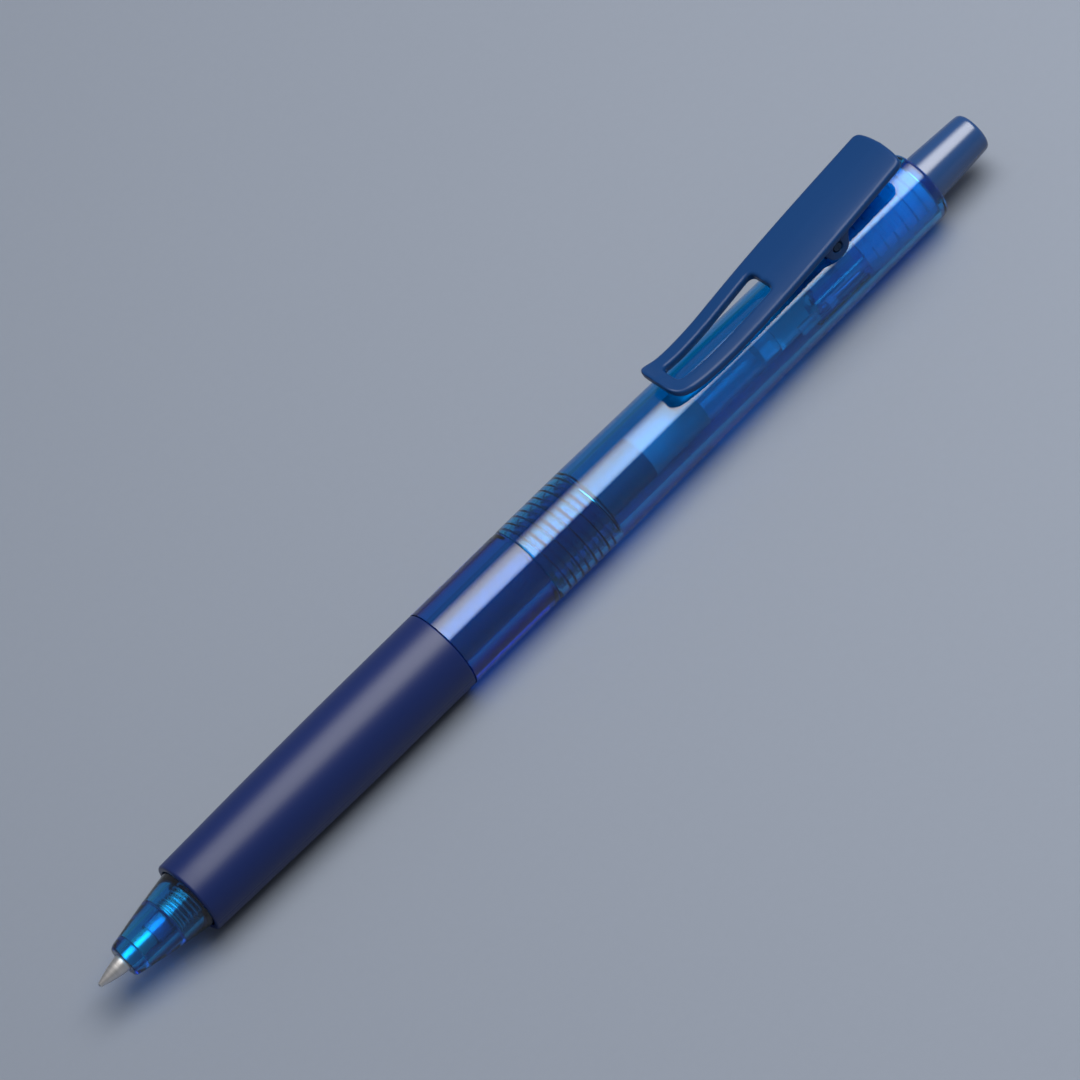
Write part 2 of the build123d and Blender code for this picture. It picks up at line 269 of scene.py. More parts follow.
class Finish:
    """A material made node by node."""

    def __init__(self, name):
        self.material = bpy.data.materials.new(name)
        self.material.use_nodes = True
        self.tree = self.material.node_tree
        self.tree.nodes.clear()

    def node(self, kind, settings=(), sockets=(), out=0):
        """Adds a node: its settings first, then its sockets. Gives back one of its outputs."""
        node = self.tree.nodes.new("ShaderNode" + kind)
        for key, setting in dict(settings).items():
            if key == "stops":
                for element, (position, colour) in zip(node.color_ramp.elements, setting):
                    element.position, element.color = position, (*colour, 1)
            else:
                setattr(node, key, setting)
        for key, term in dict(sockets).items():
            if isinstance(term, Value):
                self.tree.links.new(term.socket, node.inputs[key])
            else:
                node.inputs[key].default_value = term
        return Value(self, node.outputs[out]) if node.outputs else None

    def grain(self, scale, detail=2.0, stretch=(1, 1, 1)):
        """Even noise that lies still on the piece, its size set in metres."""
        spot = self.node("TexCoord", out="Object")
        spot = self.node("Mapping", sockets={"Vector": spot, "Scale": stretch})
        return self.node("TexNoise", sockets={"Vector": spot, "Scale": scale, "Detail": detail})

    def blend(self, mask, dark, light):
        """A colour between two colours, by a mask."""
        return self.node("Mix", {"data_type": "RGBA"}, {0: mask, 6: (*dark, 1), 7: (*light, 1)}, out=2)

    def bump(self, height, strength, distance):
        return self.node("Bump", sockets={"Height": height, "Strength": strength, "Distance": distance})

    def surface(self, **sockets):
        """The Principled shader; a name such as base_colour stands for the socket Base Color."""
        names = {name.lower().replace(" ", "_"): name for name in PRINCIPLED}
        return self.node("BsdfPrincipled", sockets={names[key]: term for key, term in sockets.items()})

    def done(self, surface, volume=None):
        """Closes the material with its output node."""
        self.node("OutputMaterial", sockets={"Surface": surface, **({"Volume": volume} if volume else {})})
        return self.material


print("finishes can use", ", ".join(PRINCIPLED))

# %% [markdown]
# ## The finishes
# The barrels are clear blue styrene: polished, tinted all through, and see-through. True refraction shows
# the wall's thickness, but it also keeps light from lamps away from the parts inside. So shadow rays pass
# straight through a plain tint, and all other rays meet the refracting surface. The plastic also swallows
# light on its way, which makes the edges of the tube darker, because light goes a long way there. The other
# clear parts are thin or nearly colourless, and do without that.

# %% Clear plastics
ABSORPTION_PER_METRE = 850.0
STYRENE_IOR, POLYPROPYLENE_IOR = 1.55, 1.5


def clear_plastic(name, tint, shade, roughness, index=STYRENE_IOR, clear=1.0, deep=None):
    """See-through plastic. shade tints lamp light at each surface, and a low clear makes it milky.

    deep is the colour that light keeps on a long way through the wall, so that edges grow darker.
    """
    f = Finish(name)
    flow = f.grain(scale=260, stretch=(0.25, 1, 1))
    body = f.surface(
        base_color=f.blend(flow, tuple(0.95 * c for c in tint), tint),
        roughness=roughness + flow * 0.01,
        ior=index,
        transmission_weight=clear,
    )
    lamps = f.node("LightPath", out="Is Shadow Ray")
    through = f.node("BsdfTransparent", sockets={"Color": (*shade, 1)})
    mixed = f.node("MixShader", sockets={0: lamps, 1: body, 2: through})
    if not deep:
        return f.done(mixed)
    volume = f.node("VolumeAbsorption", sockets={"Color": (*deep, 1), "Density": ABSORPTION_PER_METRE})
    return f.done(mixed, volume)


BLUE_CLEAR = clear_plastic(
    "barrel_blue_clear", (0.05, 0.67, 0.92), (0.42, 0.64, 0.80), roughness=0.0, deep=(0.02, 0.70, 0.92)
)
SLEEVE_CLEAR = clear_plastic(
    "sleeve_blue_clear", (0.10, 0.70, 0.92), (0.60, 0.80, 0.96), roughness=0.04, clear=0.72
)
NATURAL_CLEAR = clear_plastic(
    "refill_natural_clear", (0.80, 0.90, 0.96), (0.85, 0.90, 0.95), 0.08, POLYPROPYLENE_IOR, clear=0.9
)
HOLDER_CLEAR = clear_plastic(
    "holder_tinted_clear", (0.25, 0.64, 0.86), (0.7, 0.84, 0.94), 0.06, POLYPROPYLENE_IOR, clear=0.9
)
print("clear plastics made")

# %% [markdown]
# The clip and the push button are navy plastic, coloured all through. The clip comes from a mould with a
# fine satin texture, and the button is smoother and shinier. One flat colour would do from far away, but
# close up real plastic is never that even: fine grain goes into the gloss and the height, and a broad cloud
# into the colour. The rubber grip is made the same way, with softer highlights.


# %% Opaque plastics
def moulded(name, dark, light, roughness, grain_scale, height, shine):
    f = Finish(name)
    fine = f.grain(scale=grain_scale, detail=3.0)
    broad = f.grain(scale=90, detail=1.0)
    body = f.surface(
        base_color=f.blend(broad, dark, light),
        roughness=roughness + fine * 0.08,
        ior=1.5,
        specular_ior_level=shine,
        normal=f.bump(fine, strength=0.25, distance=height),
    )
    return f.done(body)


NAVY_SATIN = moulded(
    "clip_navy_satin", (0.003, 0.030, 0.110), (0.004, 0.034, 0.122),
    roughness=0.27, grain_scale=9000, height=0.000006, shine=0.22,
)
NAVY_GLOSS = moulded(
    "knock_navy_gloss", (0.003, 0.036, 0.130), (0.004, 0.041, 0.145),
    roughness=0.19, grain_scale=6000, height=0.000002, shine=0.95,
)
print("navy plastics made")


# %% Rubber
def rubber(name, dark, light):
    f = Finish(name)
    fine = f.grain(scale=14000, detail=3.0)
    broad = f.grain(scale=60, detail=1.0, stretch=(0.3, 1, 1))
    body = f.surface(
        base_color=f.blend(broad, dark, light),
        roughness=0.33 + fine * 0.1,
        ior=1.5,
        specular_ior_level=0.42,
        normal=f.bump(fine, strength=0.3, distance=0.000006),
    )
    return f.done(body)


GRIP_RUBBER = rubber("grip_navy_rubber", (0.0012, 0.010, 0.075), (0.0018, 0.012, 0.086))
print("rubber made")

# %% [markdown]
# The ink and the grease behind it are wet and nearly still, so they get smooth surfaces. They could be true
# liquids with volume, but the ink is so dark that no light comes back out of it.


# %% Ink and grease
def wet(name, dark, light, roughness, see_through=0.0):
    f = Finish(name)
    cloud = f.grain(scale=700)
    body = f.surface(
        base_color=f.blend(cloud, dark, light),
        roughness=roughness + cloud * 0.05,
        ior=1.4,
        transmission_weight=see_through,
    )
    return f.done(body)


INK = wet("ink_blue", (0.0015, 0.004, 0.045), (0.002, 0.006, 0.06), roughness=0.08)
GREASE = wet("follower_grease", (0.55, 0.60, 0.62), (0.70, 0.74, 0.74), roughness=0.2, see_through=0.6)
print("ink and grease made")

# %% [markdown]
# The point is turned from a warm nickel silver: the lathe tool leaves rings so fine that they only stretch
# the highlight. They could be cut into the mesh, but at a few hundredths of a millimetre a bump does the
# same. The noise is stretched across the pen's axis, so that it becomes rings, and a ramp sharpens them.


# %% Metals
def metal(name, dark, light, roughness, ring_scale=9000):
    f = Finish(name)
    rings = f.grain(scale=ring_scale, stretch=(1, 0.02, 0.02))
    rings = f.node("ValToRGB", {"stops": ((0.3, (0, 0, 0)), (0.7, (1, 1, 1)))}, {"Fac": rings})
    body = f.surface(
        base_color=f.blend(rings, dark, light),
        metallic=1.0,
        roughness=roughness + rings * 0.1,
        normal=f.bump(rings, strength=0.2, distance=0.000004),
    )
    return f.done(body)


TIP_METAL = metal("tip_turned_metal", (0.60, 0.56, 0.52), (0.74, 0.70, 0.66), 0.30, ring_scale=20000)
STEEL = metal("spring_steel", (0.55, 0.55, 0.56), (0.70, 0.70, 0.71), 0.2)
# The pin's near-black colour is painted shade: it stands for the shade deep in the clip's cheek holes.
PIN_PAINTED_SHADE = metal("pin_steel_painted_shade", (0.015, 0.03, 0.06), (0.03, 0.05, 0.09), 0.25)
CARBIDE = metal("ball_carbide", (0.40, 0.40, 0.42), (0.50, 0.50, 0.52), 0.12)
print("metals made")

# %% [markdown]
# ## Putting a piece on its body
# A part of the pen moves with the body that carries it, so each piece rides on its body by name.


# %% Fit and carry
def fit(piece, body, slot, material, *nodes):
    """Gives a piece its finish, lets it ride on its body and hides the CAD nodes that it stands for.

    A body of None leaves the piece on no body.
    """
    piece.data.materials.clear()
    piece.data.materials.append(material)
    if body:
        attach(piece, body)
    if nodes:
        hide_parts(*nodes)
    print("%-22s %6d faces on %s" % (piece.name, len(piece.data.polygons), body))
    return piece


def carry(node, material):
    """A CAD node whose own shape stays gets its finish in its material slots."""
    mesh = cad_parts[node].data
    mesh.materials.clear()
    mesh.materials.append(material)
    print("%-22s carried over" % node)


# %% [markdown]
# ## Camera
# The camera is far away with a long lens, as for a product shot: from near by, the tip would look too big.
# It looks down at the pen from the side of the tip and is rolled, so that the pen runs up to the right
# across the frame. Its axes are worked out as vectors, which is surer than three turns in the right order.

# %% Camera
VIEW_AZIMUTH, VIEW_ELEVATION, VIEW_ROLL = -19.0, 46.4, -30.356
VIEW_DISTANCE, LENS, SENSOR_WIDTH = 1.2, 344.27, 36
AIM_RIGHT, AIM_UP = -0.000287, 0.001413

azimuth, elevation, roll = (math.radians(v) for v in (VIEW_AZIMUTH, VIEW_ELEVATION, VIEW_ROLL))
back = Vector((
    math.sin(azimuth) * math.cos(elevation),
    -math.cos(azimuth) * math.cos(elevation),
    math.sin(elevation),
))
level = Vector((0, 0, 1)).cross(back).normalized()
steep = back.cross(level)
right = level * math.cos(roll) + steep * math.sin(roll)
up = steep * math.cos(roll) - level * math.sin(roll)
pen_middle = Vector(((cad_box[0].x + cad_box[1].x) / 2, 0, AXIS_Z))
camera = bpy.data.objects.new("camera", bpy.data.cameras.new("camera"))
bpy.context.scene.collection.objects.link(camera)
camera.matrix_world = Matrix.Translation(
    pen_middle + right * AIM_RIGHT + up * AIM_UP + back * VIEW_DISTANCE
) @ Matrix((right, up, back)).transposed().to_4x4()
camera.data.lens = LENS
camera.data.sensor_width = SENSOR_WIDTH
camera.data.clip_start, camera.data.clip_end = 0.01, 20
bpy.context.scene.camera = camera
print("camera at", [round(v, 3) for v in camera.location])

# %% [markdown]
# ## Floor and light
# A pale floor and one large softbox overhead give the long clean highlight that shows a polished tube. A
# plain area lamp would draw a band with hard edges, so the softbox is a panel whose glow fades to its edges.
# The floor lies a hair below the pen, so that the two don't share a surface.


# %% Floor
def make_floor(half=3.0, drop=0.00005):
    mesh = bpy.data.meshes.new("floor")
    corners = [(-half, -half, -drop), (half, -half, -drop), (half, half, -drop), (-half, half, -drop)]
    mesh.from_pydata(corners, [], [(0, 1, 2, 3)])
    floor = bpy.data.objects.new("floor", mesh)
    bpy.context.scene.collection.objects.link(floor)
    f = Finish("floor_pale_card")
    tooth = f.grain(scale=900, detail=3.0)
    body = f.surface(
        base_color=f.blend(tooth, (0.200, 0.223, 0.265), (0.208, 0.232, 0.276)),
        roughness=0.85 + tooth * 0.1,
        specular_ior_level=0.2,
    )
    mesh.materials.append(f.done(body))
    floor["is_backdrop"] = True
    return floor


make_floor()
print("floor made")


# %% Lights
def softbox(low, high, height, glow, fade):
    """A glowing panel over the pen, from corner low to corner high, that fades towards its edges."""
    mesh = bpy.data.meshes.new("key_softbox")
    corners = [(low[0], low[1]), (low[0], high[1]), (high[0], high[1]), (high[0], low[1])]
    mesh.from_pydata([(x, y, height) for x, y in corners], [], [(0, 1, 2, 3)])
    panel = bpy.data.objects.new("key_softbox", mesh)
    bpy.context.scene.collection.objects.link(panel)
    f = Finish("softbox_glow")
    spot = f.node("TexCoord", out="Object")
    strength = glow
    for axis in (0, 1):
        along = f.node("SeparateXYZ", sockets={"Vector": spot}, out=axis)
        for edge, inward in ((low[axis], fade[axis][0]), (high[axis], -fade[axis][1])):
            ends = {"Value": along, "From Min": edge, "From Max": edge + inward}
            strength = strength * f.node("MapRange", {"interpolation_type": "SMOOTHSTEP"}, ends)
    mesh.materials.append(f.done(f.node("Emission", sockets={"Strength": strength})))
    panel.visible_camera = False
    panel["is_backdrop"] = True
    return panel


softbox(low=(-0.03, -0.49), high=(0.75, 0.36), height=0.56, glow=6.8, fade=((0.04, 0.3), (0.2, 0.34)))
print("softbox made")

# %% World light
world = bpy.data.worlds.new("studio")
bpy.context.scene.world = world
world.use_nodes = True
background = world.node_tree.nodes["Background"]
background.inputs["Color"].default_value = (0.80, 0.87, 1.0, 1)
background.inputs["Strength"].default_value = 0.3
bpy.context.scene.view_settings.view_transform = "Standard"
print("soft light from all round added")

# %% [markdown]
# ## The front barrel
# The front barrel is one clear moulding: the nose cone, a thin neck that the rubber grip covers, the bare
# band and the threaded spigot. Inside, its bore steps up from a snug guide for the point to a seat for the
# spring and then to room for the refill. An outer shell alone would look right if it were opaque, but clear
# plastic needs its true inner wall, so the outline goes round the whole section.

# %% Front barrel sizes
NOSE_X0, SPIGOT_X1, BAND_R = span("front_barrel")
GRIP_X0, GRIP_X1, GRIP_R = span("grip_sleeve")
JOINT_X, REAR_X1 = span("rear_barrel")[:2]
NECK_R, SPIGOT_R, THREAD_R = 4.18, 4.2, 4.4
SHOULDER_X, JOINT_GAP, JOINT_EDGE = JOINT_X - 1.0, 0.03, 0.05
FINE_ROWS_X0, SAME_R = JOINT_X + 0.3, 0.01
THREAD_X0, THREAD_X1, PITCH = JOINT_X + 1.0, SPIGOT_X1 - 0.2, 2.18
GUIDE_X1, SEAT_X, ROOM_X = 5.9, 10.9, 18.0
GUIDE_R, FRONT_R, SPRING_R, REFILL_ROOM_R = 1.2, 1.95, 2.75, 3.15
print("thread from %.1f to %.1f mm with a pitch of %.2f mm" % (THREAD_X0, THREAD_X1, PITCH))

# %% [markdown]
# The two barrels screw together with a coarse trapezoid thread. It could be a ridge of its own, laid round
# the spigot, but clear plastic would show the seam. So it is a height on the wall, which climbs one pitch in
# each turn, has sloping flanks and fades out at both ends.

# %% Threads
CREST_HALF, FLANK, RUN_OUT = 0.27, 0.10, 0.5
FEMALE_DEPTH = 0.18


def thread_height(x, a, start, end):
    """How high a trapezoid thread stands at a station and an angle, from 0 to 1, with faded ends."""
    phase = (x / PITCH - a / (2 * math.pi)) % 1.0
    flank = np.clip((CREST_HALF - np.abs(phase - 0.5)) / FLANK, 0, 1)
    fade = np.clip((x - start) / RUN_OUT, 0, 1) * np.clip((end - x) / RUN_OUT, 0, 1)
    return flank * fade


def male_thread(x, a, r):
    on_spigot = (x > THREAD_X0) & (x < THREAD_X1) & (np.abs(r - SPIGOT_R) < SAME_R)
    return r + on_spigot * (THREAD_R - SPIGOT_R) * thread_height(x, a, THREAD_X0, THREAD_X1)


print("the thread stands %.2f mm high on the spigot" % (THREAD_R - SPIGOT_R))

# %% Make the front barrel
nose = [(NOSE_X0, GUIDE_R), (NOSE_X0, 2.05), (4.5, 2.3), (5.9, 2.57), (10.1, 3.37), (GRIP_X0, 4.06)]
neck = [(GRIP_X0 + 0.5, NECK_R), (GRIP_X1, NECK_R)]
band = [(GRIP_X1, BAND_R), (SHOULDER_X, BAND_R), (JOINT_X - JOINT_GAP, BAND_R - JOINT_EDGE)]
inside = [(ROOM_X, REFILL_ROOM_R), (ROOM_X, SPRING_R), (SEAT_X, SPRING_R), (SEAT_X, FRONT_R)]
inside += [(GUIDE_X1, FRONT_R), (GUIDE_X1, GUIDE_R)]
outline = soften(nose, [0, 0.25, 0.5, 1.5, 2.5, 0.3], closed=False)
outline += soften(neck + band, [0.3, 0, 0, 0.3, 0.1], closed=False)
outline += [np.array((JOINT_X - JOINT_GAP, SPIGOT_R))] + dense(FINE_ROWS_X0, SPIGOT_X1, SPIGOT_R)
outline += [np.array((SPIGOT_X1, REFILL_ROOM_R))] + soften(inside, 0.15, closed=False)
front_barrel = lathe("front_barrel_shell", outline, around=200, relief=male_thread)
fit(front_barrel, "barrel", "translucent_blue", BLUE_CLEAR, "front_barrel")

# %% [markdown]
# ## The rear barrel
# The rear barrel tapers towards the knock and ends in a rounded lip. Its bore carries the internal thread
# and the ribs that stop the knock from turning. Four boxes could stand for the ribs, but as relief they
# belong to the wall. Their flanks are steep, so the lathe gets extra angles there.

# %% Rear barrel sizes
REAR_END_R, BORE_R, FEMALE_R = 4.75, 4.1, 4.75
FEMALE_X0, FEMALE_X1 = JOINT_X + 0.4, 81.0
TAPER_X, END_WALL_X, HOLE_R = 80.0, 135.5, 3.42
RIB_X0, RIB_X1, RIB_R, RIB_FIRST, RIB_HALF = 116.0, 124.4, 3.4, 57.0, 7.3


def rear_relief(x, a, r):
    """The internal thread, and the ribs that stand in from the bore."""
    threaded = (x > FEMALE_X0) & (x < FEMALE_X1 - 0.2) & (np.abs(r - FEMALE_R) < SAME_R)
    height = thread_height(x + PITCH / 2, a, FEMALE_X0 + PITCH / 2, FEMALE_X1 + PITCH / 2)
    r = r - threaded * FEMALE_DEPTH * height
    from_rib = np.abs((np.degrees(a) - RIB_FIRST + 45) % 90 - 45)
    ribbed = (x >= RIB_X0) & (x <= RIB_X1) & (np.abs(r - BORE_R) < SAME_R) & (from_rib < RIB_HALF)
    return np.where(ribbed, RIB_R, r)


print("ribs from %.1f to %.1f mm" % (RIB_X0, RIB_X1))

# %% Make the rear barrel
RIB_EDGE, STEP_ANGLE, SHARP_STEP = 0.3, 2.25, 0.02
flanks = [side * (RIB_HALF + w) for side in (-1, 1) for w in (-RIB_EDGE, RIB_EDGE)]
edges = [(RIB_FIRST + turn + flank) % 360 for turn in (0, 90, 180, 270) for flank in flanks]
rib_angles = np.radians(np.unique(np.concatenate((np.arange(0, 360, STEP_ANGLE), edges))))
skin = [(JOINT_X + JOINT_GAP, FEMALE_R), (JOINT_X + JOINT_GAP, BAND_R - JOINT_EDGE)]
skin += [(JOINT_X + 0.35, BAND_R), (TAPER_X, BAND_R)]
skin += [(REAR_X1, REAR_END_R), (REAR_X1, HOLE_R), (END_WALL_X, HOLE_R), (END_WALL_X, BORE_R)]
outline = soften(skin, [0, 0.1, 0.2, 9.0, 1.3, 0.15, 0.1, 0.1], steps=9, closed=False)
for x in (RIB_X1 + SHARP_STEP, RIB_X1, RIB_X0, RIB_X0 - SHARP_STEP, FEMALE_X1):
    outline.append(np.array((x, BORE_R)))
outline += dense(FEMALE_X1, FINE_ROWS_X0, FEMALE_R)
rear_barrel = lathe("rear_barrel_shell", outline, relief=rear_relief, angles=rib_angles)
fit(rear_barrel, "barrel", "translucent_blue", BLUE_CLEAR, "rear_barrel")

# %% [markdown]
# ## The clip's lug
# Two ears stand on the barrel between the clip's cheeks and hold the steel pin. They are part of the
# barrel's moulding, so they have its finish. A Boolean could weld them to the tube, but they only have to
# stand in its wall. Each is a flat outline, pushed out to a plate and bevelled along its edges. The clip's
# cheeks are made in the same way, with a hole for the pin.


# %% Flat plates
def plate_from(name, outline, y0, y1, round_edge=0.15, hole=None):
    """A flat plate: an outline of (station, height) in mm, thick from y0 to y1, with softened edges.

    hole is an outline with as many points, and the plate is then a ring of faces between the two.
    """
    work = bmesh.new()
    near = [work.verts.new(place(x, y0, z)) for x, z in outline]
    if hole:
        inner = [work.verts.new(place(x, y0, z)) for x, z in hole]
        for i, corner in enumerate(near):
            work.faces.new((near[i - 1], corner, inner[i], inner[i - 1]))
    else:
        work.faces.new(near)
    grown = bmesh.ops.extrude_face_region(work, geom=work.faces[:])["geom"]
    moved = [v for v in grown if isinstance(v, bmesh.types.BMVert)]
    bmesh.ops.translate(work, verts=moved, vec=(0, (y1 - y0) * MM, 0))
    bmesh.ops.recalc_face_normals(work, faces=work.faces)
    level = [e for e in work.edges if abs(e.verts[0].co.y - e.verts[1].co.y) < 1e-9]
    rims = [e for e in level if e.calc_face_angle(0) > 1]
    bmesh.ops.bevel(work, geom=rims, offset=round_edge * MM, segments=3, profile=0.5, affect="EDGES")
    mesh = bpy.data.meshes.new(name)
    work.to_mesh(mesh)
    work.free()
    return finish_mesh(name, mesh)


print("plates ready")

# %% Lug
PIN_LOW, PIN_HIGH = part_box("clip_pin")
PIN_X = ((PIN_LOW.x + PIN_HIGH.x) / 2 - PEN_X0) / MM
PIN_Z = ((PIN_LOW.z + PIN_HIGH.z) / 2 - AXIS_Z) / MM
EAR_Y0, EAR_Y1, EAR_R, EAR_FOOT_HALF, EAR_FOOT_Z = 1.15, 2.3, 1.05, 1.5, 4.3


def round_pin(radius, turns):
    """Points on a circle round the pin, as (station, height) in mm, at the given angles in radians."""
    return [(PIN_X + radius * math.cos(t), PIN_Z + radius * math.sin(t)) for t in turns]


ear_outline = round_pin(EAR_R, np.linspace(math.pi, 0, 15))
ear_outline += [(PIN_X + EAR_FOOT_HALF, EAR_FOOT_Z), (PIN_X - EAR_FOOT_HALF, EAR_FOOT_Z)]
for side, name in ((-1, "lug_ear_front"), (1, "lug_ear_back")):
    ear = plate_from(name, ear_outline, side * EAR_Y0, side * EAR_Y1)
    fit(ear, "barrel", "translucent_blue", BLUE_CLEAR)

# %% [markdown]
# ## The guide sleeve
# A ringed sleeve is pressed into the rear end. Its barbs bite in the bore, and the knock slides in it. The
# rings could be a bump, but they show as dark lines through the barrel, so they are in the outline.

# %% Guide sleeve
SLEEVE_X0, SLEEVE_X1, BARB_R = span("guide_sleeve")
SLEEVE_WALL_R, SLEEVE_BORE_R, BARB_FIRST, BARB_PITCH, BARBS = 3.8, 3.25, 126.1, 1.64, 6
BARB_FOOT_HALF, BARB_CREST_HALF = 0.3, 0.1
outline = [(SLEEVE_X0, SLEEVE_BORE_R), (SLEEVE_X0, SLEEVE_WALL_R)]
for i in range(BARBS):
    barb = BARB_FIRST + i * BARB_PITCH
    outline += [(barb - BARB_FOOT_HALF, SLEEVE_WALL_R), (barb - BARB_CREST_HALF, BARB_R)]
    outline += [(barb + BARB_CREST_HALF, BARB_R), (barb + BARB_FOOT_HALF, SLEEVE_WALL_R)]
outline += [(SLEEVE_X1, SLEEVE_WALL_R), (SLEEVE_X1, SLEEVE_BORE_R)]
guide_sleeve = lathe("guide_sleeve_ringed", soften(outline, 0.06, steps=3))
fit(guide_sleeve, "barrel", "translucent_blue", SLEEVE_CLEAR, "guide_sleeve")

# %% [markdown]
# ## The grip
# The rubber grip has a rounded front lip, swells slowly towards the rear and carries one fine mould line. A
# plain cylinder with a bevel would miss the swell, which is what fingers feel, so the outline has it.

# %% Grip sleeve sizes
GRIP_BORE_R, GRIP_FRONT_R, GRIP_LIP = 4.22, 4.98, 0.75
MOULD_LINE, LINE_HALF, LINE_DEPTH = 105.0, 0.8, 0.025


def mould_line(x, a, r):
    """A hair-fine groove along the grip, where the two halves of the mould met."""
    off = np.abs(np.degrees(a) - MOULD_LINE)
    return r - np.where(r > GRIP_FRONT_R - 0.1, LINE_DEPTH * np.clip(1 - off / LINE_HALF, 0, 1), 0)


print("grip from %.1f to %.1f mm" % (GRIP_X0, GRIP_X1))

# %% Make the grip sleeve
around_line = (MOULD_LINE - LINE_HALF, MOULD_LINE, MOULD_LINE + LINE_HALF)
grip_angles = np.radians(np.unique(np.concatenate((np.arange(0, 360, 2.5), around_line))))
swell = [(GRIP_X0, GRIP_BORE_R), (GRIP_X0, GRIP_FRONT_R), (20.0, 5.08), (29.6, 5.27), (41.5, GRIP_R - 0.02)]
swell += [(GRIP_X1 - 0.02, GRIP_R), (GRIP_X1 - 0.02, GRIP_BORE_R)]
outline = soften(swell, [0.15, GRIP_LIP, 3.0, 4.0, 4.0, 0.35, 0.1], steps=9)
grip = lathe("grip_rubber_sleeve", outline, relief=mould_line, angles=grip_angles)
fit(grip, "barrel", "grip_rubber", GRIP_RUBBER, "grip_sleeve")

# %% [markdown]
# ## The refill
# The refill is a clear tube, open at the rear, with a column of ink and a plug of grease behind it that
# follows the ink as it is used up. The ink could end exactly at the wall, but then a film of air seems to
# lie between. Ink wets the wall, so its column is a hair larger than the bore.

# %% Refill tube, ink and follower
TUBE_X0, TUBE_X1, TUBE_R = span("refill_tube")
INK_X0, INK_X1, COLUMN_R = span("ink_column")
GREASE_X0, GREASE_X1 = INK_X1 + 0.01, span("follower")[1]
TUBE_BORE_R = COLUMN_R + 0.02
WET_R = TUBE_BORE_R + 0.01
tube_wall = [(TUBE_X0, TUBE_BORE_R), (TUBE_X0, TUBE_R), (TUBE_X1, TUBE_R), (TUBE_X1, TUBE_BORE_R)]
tube = lathe("refill_tube_clear", soften(tube_wall, 0.12), around=96)
fit(tube, "refill", "clear_plastic", NATURAL_CLEAR, "refill_tube")
column = [(INK_X0, 0), (INK_X0, WET_R), (INK_X1, WET_R), (INK_X1, 0)]
ink = lathe("ink_blue_column", column, around=96, closed=False)
fit(ink, "refill", "ink", INK, "ink_column")
grease = [(GREASE_X0, 0), (GREASE_X0, WET_R), (GREASE_X1, WET_R)]
grease = soften(grease + [(GREASE_X1 - 0.5, 1.9), (GREASE_X1 - 0.9, 0)], [0, 0, 0, 0.5, 0], closed=False)
follower = lathe("follower_grease_plug", grease, around=96, closed=False)
fit(follower, "refill", "grease", GREASE, "follower")

# %% [markdown]
# ## Point, holder and spring
# The metal point narrows in a slightly rounded cone to a crimped rim that holds the ball. A plastic holder
# joins it to the tube. Both are turned shapes with a bore, so the lathe makes them from one outline each.

# %% Writing tip
TIP_X1, TIP_R = span("writing_tip")[1:]
FEED_R, CHANNEL_R, CHANNEL_X0, CHANNEL_X1 = 0.5, 0.12, 0.5, 4.0
cone = [(0.13, 0.235), (0.15, 0.285), (0.6, 0.43), (1.2, 0.61), (2.4, 0.92), (3.5, 1.11), (4.3, TIP_R)]
outline = soften(cone, [0, 0.02, 0.25, 0.5, 0.5, 0.4, 0.3], closed=False)
feed_bore = [(TIP_X1, TIP_R), (TIP_X1, FEED_R), (CHANNEL_X1, FEED_R), (CHANNEL_X1, CHANNEL_R)]
feed_bore += [(CHANNEL_X0, CHANNEL_R), (0.36, 0.24)]
outline += [np.array(point) for point in feed_bore]
tip = lathe("writing_tip_cone", outline, around=72)
fit(tip, "refill", "tip_metal", TIP_METAL, "writing_tip")

# %% Tip holder
HOLDER_X0, HOLDER_X1, FLANGE_R = span("tip_holder")
FLANGE_X0, FLANGE_X1, SHANK_R, SOCKET_R, HOLDER_BORE_R = 23.45, 24.38, 1.7, 1.17, 0.8
body = [(HOLDER_X0, SOCKET_R), (HOLDER_X0, 1.5), (10.9, 1.55), (11.3, SHANK_R)]
body += [(FLANGE_X0, SHANK_R), (FLANGE_X0, FLANGE_R), (FLANGE_X1, FLANGE_R), (FLANGE_X1, TUBE_BORE_R)]
body += [(HOLDER_X1, TUBE_BORE_R), (HOLDER_X1, HOLDER_BORE_R), (TIP_X1, HOLDER_BORE_R)]
body += [(TIP_X1, SOCKET_R)]
holder = lathe("tip_holder_clear", soften(body, 0.1), around=72)
fit(holder, "refill", "holder_plastic", HOLDER_CLEAR, "tip_holder")

# %% [markdown]
# The return spring sits round the holder with its end coils closed. It could ride on the refill as a stiff
# piece, but then it would slide through its seat. Here it rides on no body, and stays where it is made.

# %% Return spring
SPRING_WIRE_R, CLOSED_TURNS, OPEN_TURNS, POINTS_PER_TURN, COIL_GAP = 0.18, 2.5, 15, 28, 1.04


def spring_path(x0, x1, radius):
    """Points along a spring with closed coils at both ends and even coils between."""
    turns = 2 * CLOSED_TURNS + OPEN_TURNS
    t = np.linspace(0, turns, int(turns * POINTS_PER_TURN))
    tight = 2 * SPRING_WIRE_R * COIL_GAP
    open_pitch = (x1 - x0 - 2 * SPRING_WIRE_R - 2 * CLOSED_TURNS * tight) / OPEN_TURNS
    opened = np.clip(t - CLOSED_TURNS, 0, OPEN_TURNS)
    x = x0 + SPRING_WIRE_R + tight * (t - opened) + open_pitch * opened
    return [place(s, -radius * math.sin(a), radius * math.cos(a)) for s, a in zip(x, 2 * math.pi * t)]


